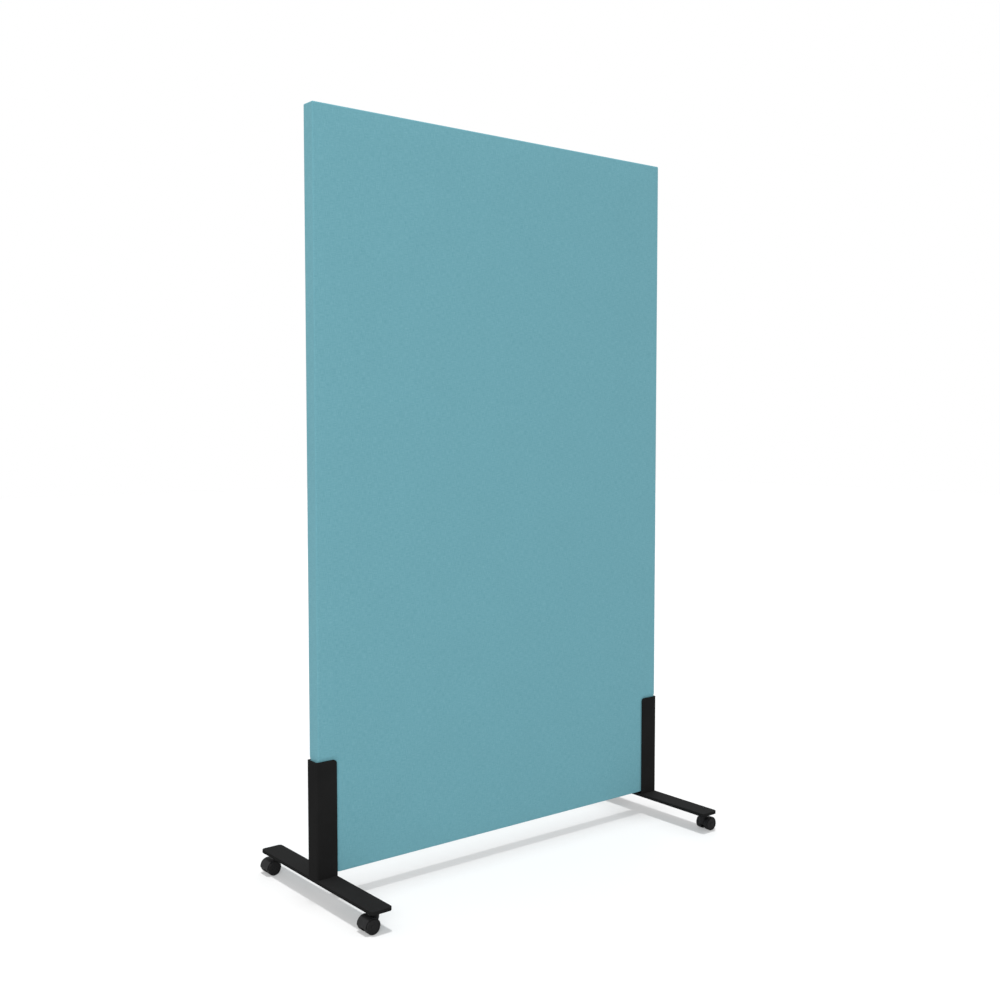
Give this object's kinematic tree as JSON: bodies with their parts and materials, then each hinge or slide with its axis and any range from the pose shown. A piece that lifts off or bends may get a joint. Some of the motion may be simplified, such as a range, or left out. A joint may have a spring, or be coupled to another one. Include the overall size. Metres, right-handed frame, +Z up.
{
  "type": "rolling partition",
  "caption": "Upholstered screen panel, clamped at its lower corners by U-shaped steel posts on flat steel feet with twin-wheel swivel casters.",
  "frame": {"origin": "on the floor, at the middle of the footprint, under the panel's middle", "axes": "+X along the panel to its right end seen from the front, +Y from the panel's front face to its back, +Z up"},
  "size_m": [1.0272, 0.46, 1.6575],
  "materials": {
    "cover_fabric": "matte",
    "wadding": "matte",
    "absorber": "matte",
    "frame_timber": "matte",
    "dowel_timber": "matte",
    "black_powder_coat": "matte",
    "packing_rubber": "matte",
    "screw_steel": "satin",
    "insert_brass": "satin",
    "zinc_plated_steel": "satin",
    "caster_nylon": "satin",
    "wheel_nylon": "satin"
  },
  "bodies": {
    "partition": {"left_stile": "frame_timber", "right_stile": "frame_timber", "top_rail": "frame_timber", "cross_rail": "frame_timber", "bottom_rail": "frame_timber", "frame_dowels": "dowel_timber", "upper_absorber": "absorber", "lower_absorber": "absorber", "front_wadding": "wadding", "rear_wadding": "wadding", "fabric_cover": "cover_fabric", "left_foot": "black_powder_coat", "left_post": "black_powder_coat", "left_post_weld": "black_powder_coat", "left_packing_strip": "packing_rubber", "left_post_screws": "screw_steel", "left_post_inserts": "insert_brass", "right_foot": "black_powder_coat", "right_post": "black_powder_coat", "right_post_weld": "black_powder_coat", "right_packing_strip": "packing_rubber", "right_post_screws": "screw_steel", "right_post_inserts": "insert_brass", "left_front_caster_stem": "zinc_plated_steel", "left_front_caster_retaining_ring": "zinc_plated_steel", "left_rear_caster_stem": "zinc_plated_steel", "left_rear_caster_retaining_ring": "zinc_plated_steel", "right_front_caster_stem": "zinc_plated_steel", "right_front_caster_retaining_ring": "zinc_plated_steel", "right_rear_caster_stem": "zinc_plated_steel", "right_rear_caster_retaining_ring": "zinc_plated_steel"},
    "left_front_caster": {"left_front_caster_housing": "caster_nylon", "left_front_caster_axle": "zinc_plated_steel"},
    "left_front_caster_outer_wheel": {"left_front_caster_outer_wheel": "wheel_nylon"},
    "left_front_caster_inner_wheel": {"left_front_caster_inner_wheel": "wheel_nylon"},
    "left_rear_caster": {"left_rear_caster_housing": "caster_nylon", "left_rear_caster_axle": "zinc_plated_steel"},
    "left_rear_caster_outer_wheel": {"left_rear_caster_outer_wheel": "wheel_nylon"},
    "left_rear_caster_inner_wheel": {"left_rear_caster_inner_wheel": "wheel_nylon"},
    "right_front_caster": {"right_front_caster_housing": "caster_nylon", "right_front_caster_axle": "zinc_plated_steel"},
    "right_front_caster_outer_wheel": {"right_front_caster_outer_wheel": "wheel_nylon"},
    "right_front_caster_inner_wheel": {"right_front_caster_inner_wheel": "wheel_nylon"},
    "right_rear_caster": {"right_rear_caster_housing": "caster_nylon", "right_rear_caster_axle": "zinc_plated_steel"},
    "right_rear_caster_outer_wheel": {"right_rear_caster_outer_wheel": "wheel_nylon"},
    "right_rear_caster_inner_wheel": {"right_rear_caster_inner_wheel": "wheel_nylon"}
  },
  "joints": [
    {"name": "left_front_caster_swivel", "type": "hinge", "parent": "partition", "child": "left_front_caster", "pos_m": [-0.4805, -0.203, 0.0425], "axis": [0, 0, 1], "continuous": true},
    {"name": "left_front_caster_outer_wheel_spin", "type": "hinge", "parent": "left_front_caster", "child": "left_front_caster_outer_wheel", "pos_m": [-0.496, -0.203, 0.0155], "axis": [0, 1, 0], "continuous": true},
    {"name": "left_front_caster_inner_wheel_spin", "type": "hinge", "parent": "left_front_caster", "child": "left_front_caster_inner_wheel", "pos_m": [-0.496, -0.203, 0.0155], "axis": [0, 1, 0], "continuous": true},
    {"name": "left_rear_caster_swivel", "type": "hinge", "parent": "partition", "child": "left_rear_caster", "pos_m": [-0.4805, 0.203, 0.0425], "axis": [0, 0, 1], "continuous": true},
    {"name": "left_rear_caster_outer_wheel_spin", "type": "hinge", "parent": "left_rear_caster", "child": "left_rear_caster_outer_wheel", "pos_m": [-0.496, 0.203, 0.0155], "axis": [0, 1, 0], "continuous": true},
    {"name": "left_rear_caster_inner_wheel_spin", "type": "hinge", "parent": "left_rear_caster", "child": "left_rear_caster_inner_wheel", "pos_m": [-0.496, 0.203, 0.0155], "axis": [0, 1, 0], "continuous": true},
    {"name": "right_front_caster_swivel", "type": "hinge", "parent": "partition", "child": "right_front_caster", "pos_m": [0.4805, -0.203, 0.0425], "axis": [0, 0, 1], "continuous": true},
    {"name": "right_front_caster_outer_wheel_spin", "type": "hinge", "parent": "right_front_caster", "child": "right_front_caster_outer_wheel", "pos_m": [0.496, -0.203, 0.0155], "axis": [0, 1, 0], "continuous": true},
    {"name": "right_front_caster_inner_wheel_spin", "type": "hinge", "parent": "right_front_caster", "child": "right_front_caster_inner_wheel", "pos_m": [0.496, -0.203, 0.0155], "axis": [0, 1, 0], "continuous": true},
    {"name": "right_rear_caster_swivel", "type": "hinge", "parent": "partition", "child": "right_rear_caster", "pos_m": [0.4805, 0.203, 0.0425], "axis": [0, 0, 1], "continuous": true},
    {"name": "right_rear_caster_outer_wheel_spin", "type": "hinge", "parent": "right_rear_caster", "child": "right_rear_caster_outer_wheel", "pos_m": [0.496, 0.203, 0.0155], "axis": [0, 1, 0], "continuous": true},
    {"name": "right_rear_caster_inner_wheel_spin", "type": "hinge", "parent": "right_rear_caster", "child": "right_rear_caster_inner_wheel", "pos_m": [0.496, 0.203, 0.0155], "axis": [0, 1, 0], "continuous": true}
  ]
}
